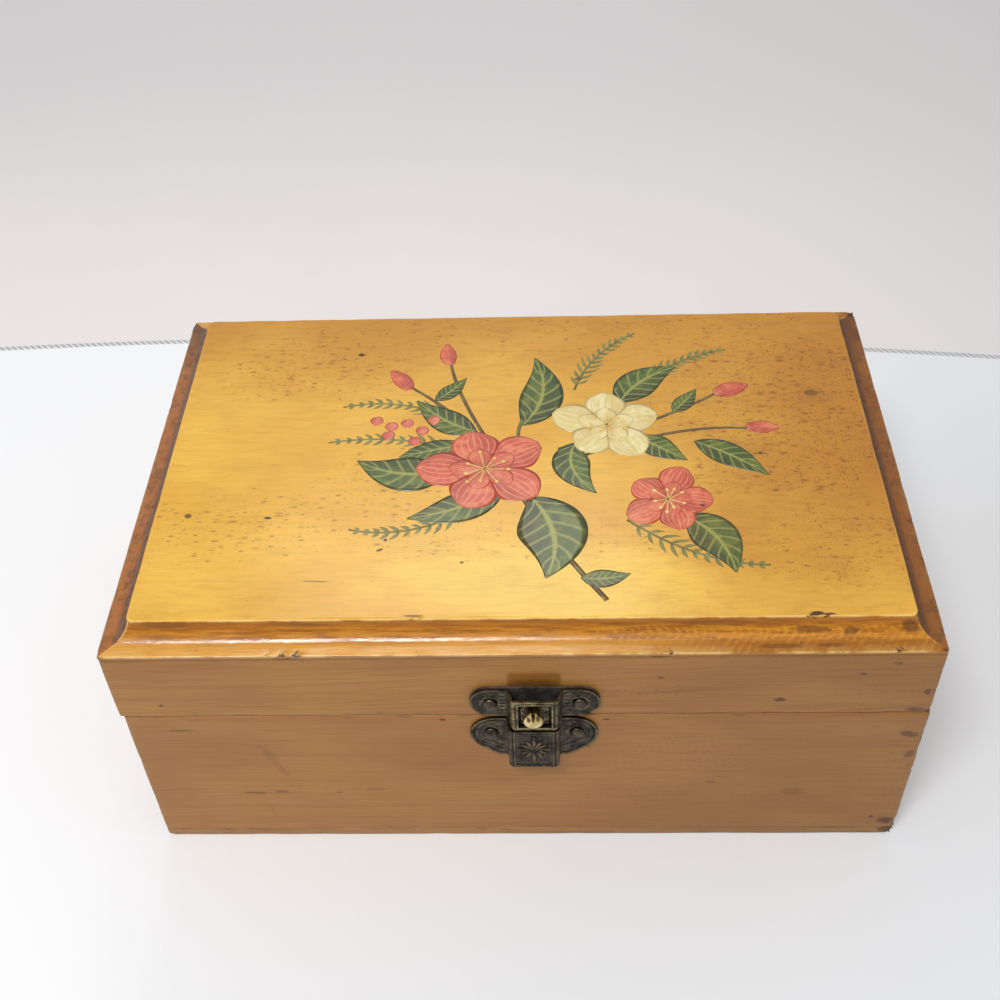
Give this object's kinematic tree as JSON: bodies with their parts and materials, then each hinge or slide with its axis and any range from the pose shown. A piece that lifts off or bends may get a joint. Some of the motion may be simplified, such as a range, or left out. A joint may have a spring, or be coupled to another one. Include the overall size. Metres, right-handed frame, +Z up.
{
  "type": "sewing box",
  "caption": "Small wooden sewing box: a glued case, a lid with a cove-moulded varnished top on two butt hinges, and a stamped snap catch with a sprung brass knob.",
  "frame": {"origin": "centre of the underside of the case's bottom board, lid closed", "axes": "+X to the right seen from the front, +Y towards the hinges at the back, +Z up"},
  "size_m": [0.1658, 0.1149, 0.0695],
  "materials": {
    "case_wood": "satin varnish, worn",
    "lid_wood": "satin varnish, worn",
    "varnished_top": "glossy amber varnish over a printed floral spray",
    "bottom_wood": "satin, worn",
    "hinge_brass": "aged brass",
    "hinge_pin_steel": "dull",
    "catch_metal": "dark antique patina",
    "knob_brass": "polished by use, dark in its hollows"
  },
  "bodies": {
    "case": {"body_front_board": "case_wood", "body_back_board": "case_wood", "body_left_board": "case_wood", "body_right_board": "case_wood", "body_bottom_board": "bottom_wood", "hinge_left_case_leaf": "hinge_brass", "hinge_left_pin": "hinge_pin_steel", "hinge_left_case_nail_1": "hinge_brass", "hinge_left_case_nail_2": "hinge_brass", "hinge_right_case_leaf": "hinge_brass", "hinge_right_pin": "hinge_pin_steel", "hinge_right_case_nail_1": "hinge_brass", "hinge_right_case_nail_2": "hinge_brass", "catch_housing_plate": "catch_metal", "catch_housing_pin_left": "catch_metal", "catch_housing_pin_right": "catch_metal"},
    "lid": {"lid_front_rail": "lid_wood", "lid_back_rail": "lid_wood", "lid_left_rail": "lid_wood", "lid_right_rail": "lid_wood", "lid_top_panel": "varnished_top", "hinge_left_lid_leaf": "hinge_brass", "hinge_left_lid_nail_1": "hinge_brass", "hinge_left_lid_nail_2": "hinge_brass", "hinge_right_lid_leaf": "hinge_brass", "hinge_right_lid_nail_1": "hinge_brass", "hinge_right_lid_nail_2": "hinge_brass", "catch_backplate": "catch_metal", "catch_bridge_plate": "catch_metal", "catch_bridge_pin_left": "catch_metal", "catch_bridge_pin_right": "catch_metal"},
    "catch_tongue": {"catch_spring_tongue": "catch_metal", "catch_knob": "knob_brass"}
  },
  "joints": [
    {"name": "lid_hinge", "type": "hinge", "parent": "case", "child": "lid", "pos_m": [0, 0.0528, 0.0455], "axis": [-1, 0, 0], "range_deg": [0, 98]},
    {"name": "catch_press", "type": "hinge", "parent": "case", "child": "catch_tongue", "pos_m": [0.0025, -0.05705, 0.03355], "axis": [-1, 0, 0], "range_deg": [0, 6.5], "stiffness_Nm_per_rad": 0.25, "springref_deg": -1.72}
  ]
}
